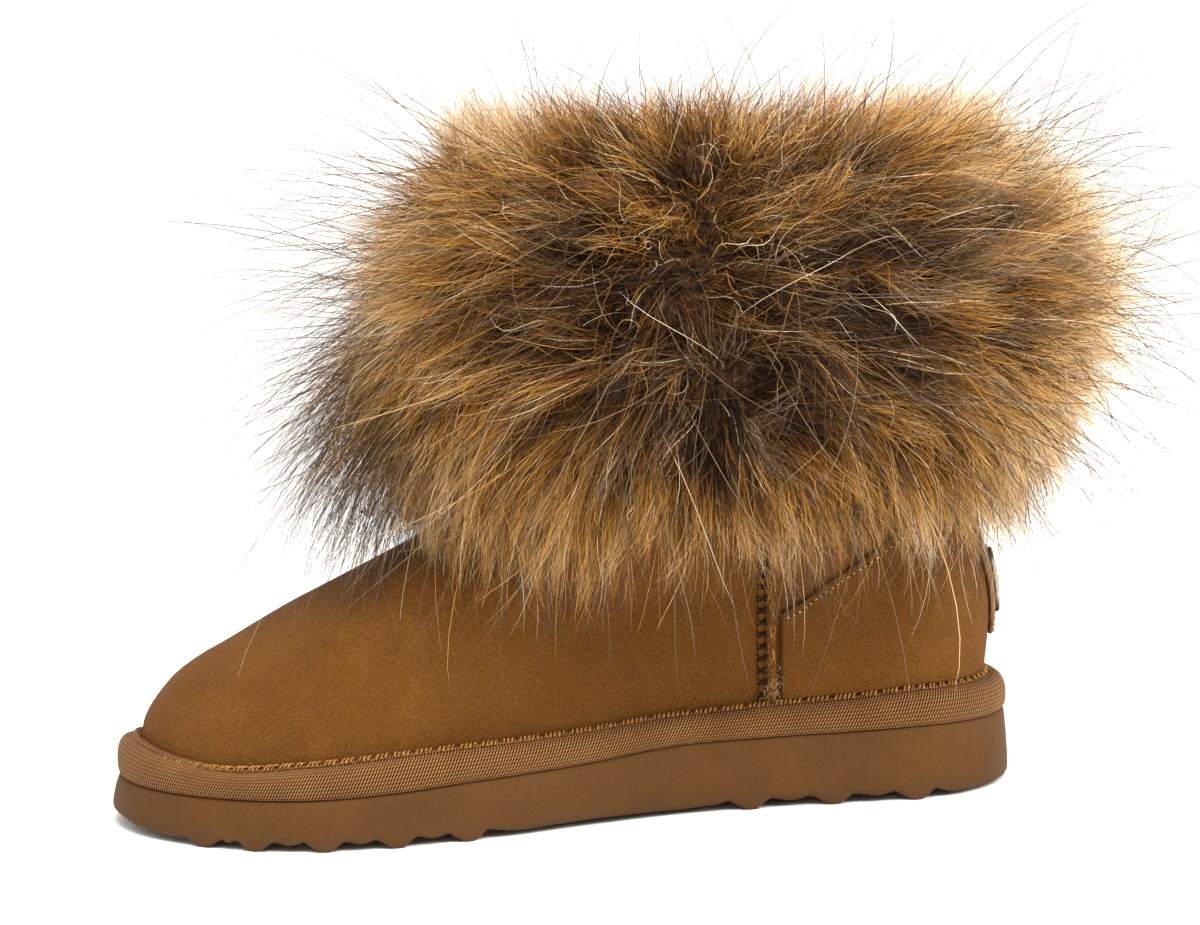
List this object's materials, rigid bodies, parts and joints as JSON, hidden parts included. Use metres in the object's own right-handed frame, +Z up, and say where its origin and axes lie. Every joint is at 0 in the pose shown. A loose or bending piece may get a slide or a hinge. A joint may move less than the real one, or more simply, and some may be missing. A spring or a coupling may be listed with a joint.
{
  "type": "ankle boot",
  "caption": "Left ankle boot in suede with a hollow upper, a deep fur cuff round the collar, a padded tape welt and a wedge sole with wave lugs.",
  "frame": {"origin": "on the floor, at the centre of the whole boot's footprint box", "axes": "+X towards the heel, -X towards the toe, -Y the outer side of the left foot, +Z up"},
  "size_m": [0.3112, 0.1834, 0.2149],
  "materials": {
    "sole_rubber": "matt foamed sole compound",
    "welt_tape": "woven binding tape over padding",
    "suede": "brushed suede",
    "counter_suede": "brushed suede",
    "seam_suede": "suede roll with whip stitches",
    "insole_pile": "clipped pile",
    "label_leather": "smooth leather, plain",
    "plate_steel": "plain metal plate",
    "fur": "long mixed fur"
  },
  "bodies": {
    "root": {"outsole": "sole_rubber", "welt": "welt_tape", "upper": "suede", "insole": "insole_pile", "heel_counter": "counter_suede", "outer_seam": "seam_suede", "inner_seam": "seam_suede", "heel_label": "label_leather", "heel_plate": "plate_steel", "fur_cuff": "fur"}
  },
  "joints": []
}
